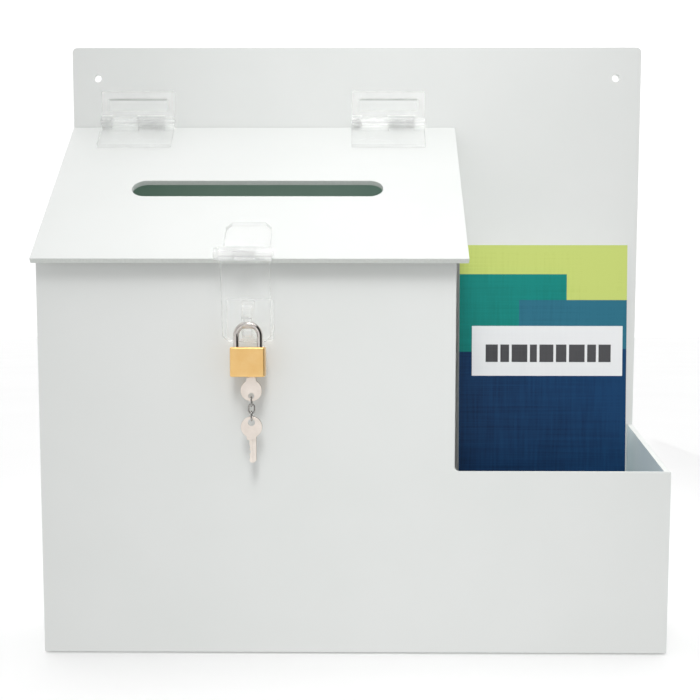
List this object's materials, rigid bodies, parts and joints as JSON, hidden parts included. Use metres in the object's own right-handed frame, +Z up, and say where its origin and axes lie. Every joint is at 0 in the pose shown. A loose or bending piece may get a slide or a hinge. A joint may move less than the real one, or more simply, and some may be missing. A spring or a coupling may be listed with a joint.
{
  "type": "donation box",
  "caption": "White wall-mountable donation box with a sloping slotted lid, clear hinges and hasp, a small brass padlock with hanging keys, and a side pocket of leaflets.",
  "frame": {"origin": "centre of the box's footprint, on the underside of the bottom panel", "axes": "+Z up, +Y towards the wall behind the back panel, +X towards the leaflet pocket"},
  "size_m": [0.3492, 0.1111, 0.353],
  "materials": {
    "white_sheet": "white extruded sheet, satin gloss, saw-cut and flame-bonded edges",
    "clear_acrylic": "clear moulded plastic",
    "brass": "machined brass with fine brush lines",
    "polished_steel": "polished plated steel rod",
    "steel": "plain steel",
    "nickel_plate": "nickel plate, slightly warm",
    "printed_paper": "coated paper with printed colour blocks",
    "plain_paper": "stack of uncoated leaflets"
  },
  "bodies": {
    "box": {"back_panel": "white_sheet", "front_panel": "white_sheet", "left_side_panel": "white_sheet", "divider_panel": "white_sheet", "pocket_side_panel": "white_sheet", "bottom_panel": "white_sheet", "hinge_left_wall_leaf": "clear_acrylic", "hinge_left_pin": "clear_acrylic", "hinge_right_wall_leaf": "clear_acrylic", "hinge_right_pin": "clear_acrylic", "hasp_staple": "clear_acrylic"},
    "lid": {"lid_panel": "white_sheet", "hinge_left_lid_leaf": "clear_acrylic", "hinge_right_lid_leaf": "clear_acrylic", "hasp_lid_leaf": "clear_acrylic", "hasp_pin": "clear_acrylic"},
    "hasp_flap": {"hasp_flap": "clear_acrylic"},
    "shackle": {"padlock_shackle": "polished_steel"},
    "padlock": {"padlock_body": "brass", "driver_pin_1": "brass", "driver_pin_2": "brass", "driver_pin_3": "brass", "pin_spring_1": "steel", "pin_spring_2": "steel", "pin_spring_3": "steel", "latch_spring": "steel", "shackle_spring": "steel"},
    "plug": {"padlock_plug": "brass", "key_pin_1": "brass", "key_pin_2": "brass", "key_pin_3": "brass"},
    "latch": {"padlock_latch": "steel"},
    "key": {"padlock_key": "nickel_plate"},
    "link_1": {"chain_link_1": "steel"},
    "link_2": {"chain_link_2": "steel"},
    "link_3": {"chain_link_3": "steel"},
    "spare_key": {"spare_key": "nickel_plate"},
    "leaflets": {"leaflet_front": "printed_paper", "leaflet_stack": "plain_paper"}
  },
  "joints": [
    {"name": "lid_hinge", "type": "hinge", "parent": "box", "child": "lid", "pos_m": [0, 0.0392, 0.308], "axis": [-1, 0, 0], "range_deg": [0, 125]},
    {"name": "hasp_flap_hinge", "type": "hinge", "parent": "lid", "child": "hasp_flap", "pos_m": [-0.05862, -0.06126, 0.22069], "axis": [-1, 0, 0], "range_deg": [0, 225]},
    {"name": "padlock_swing", "type": "hinge", "parent": "box", "child": "shackle", "pos_m": [-0.05772, -0.0583, 0.1834], "axis": [-1, 0, 0], "range_deg": [-2, 80]},
    {"name": "shackle_pop", "type": "slide", "parent": "shackle", "child": "padlock", "axis": [0, 0, -1], "range_m": [0, 0.0065], "deforming": ["shackle_spring"]},
    {"name": "key_turn", "type": "hinge", "parent": "padlock", "child": "plug", "pos_m": [-0.05602, -0.0583, 0.16], "axis": [0, 0, 1], "range_deg": [0, 90.01]},
    {"name": "latch_slide", "type": "slide", "parent": "padlock", "child": "latch", "axis": [-1, 0, 0], "range_m": [0, 0.00161], "deforming": ["latch_spring"]},
    {"name": "key_pull", "type": "slide", "parent": "plug", "child": "key", "axis": [0, 0, -1], "range_m": [0, 0.01]},
    {"name": "chain_1_swing", "type": "hinge", "parent": "key", "child": "link_1", "pos_m": [-0.05602, -0.0583, 0.1443], "axis": [0, 1, 0], "range_deg": [-3, 35]},
    {"name": "chain_2_swing", "type": "hinge", "parent": "link_1", "child": "link_2", "pos_m": [-0.05602, -0.0583, 0.14043], "axis": [-1, 0, 0], "range_deg": [-8, 60]},
    {"name": "chain_3_swing", "type": "hinge", "parent": "link_2", "child": "link_3", "pos_m": [-0.05602, -0.0583, 0.13656], "axis": [0, 1, 0], "range_deg": [-3, 35]},
    {"name": "spare_key_swing", "type": "hinge", "parent": "link_3", "child": "spare_key", "pos_m": [-0.05602, -0.0583, 0.13159], "axis": [0, 1, 0], "range_deg": [-3, 25]},
    {"name": "leaflet_lift", "type": "slide", "parent": "box", "child": "leaflets", "axis": [0, 0, 1], "range_m": [0, 0.13]}
  ],
  "couplings": [
    {"joint": "key_turn", "follows": "shackle_pop", "rad_per_m": 241.66},
    {"joint": "latch_slide", "follows": "shackle_pop", "ratio": 0.24615}
  ]
}
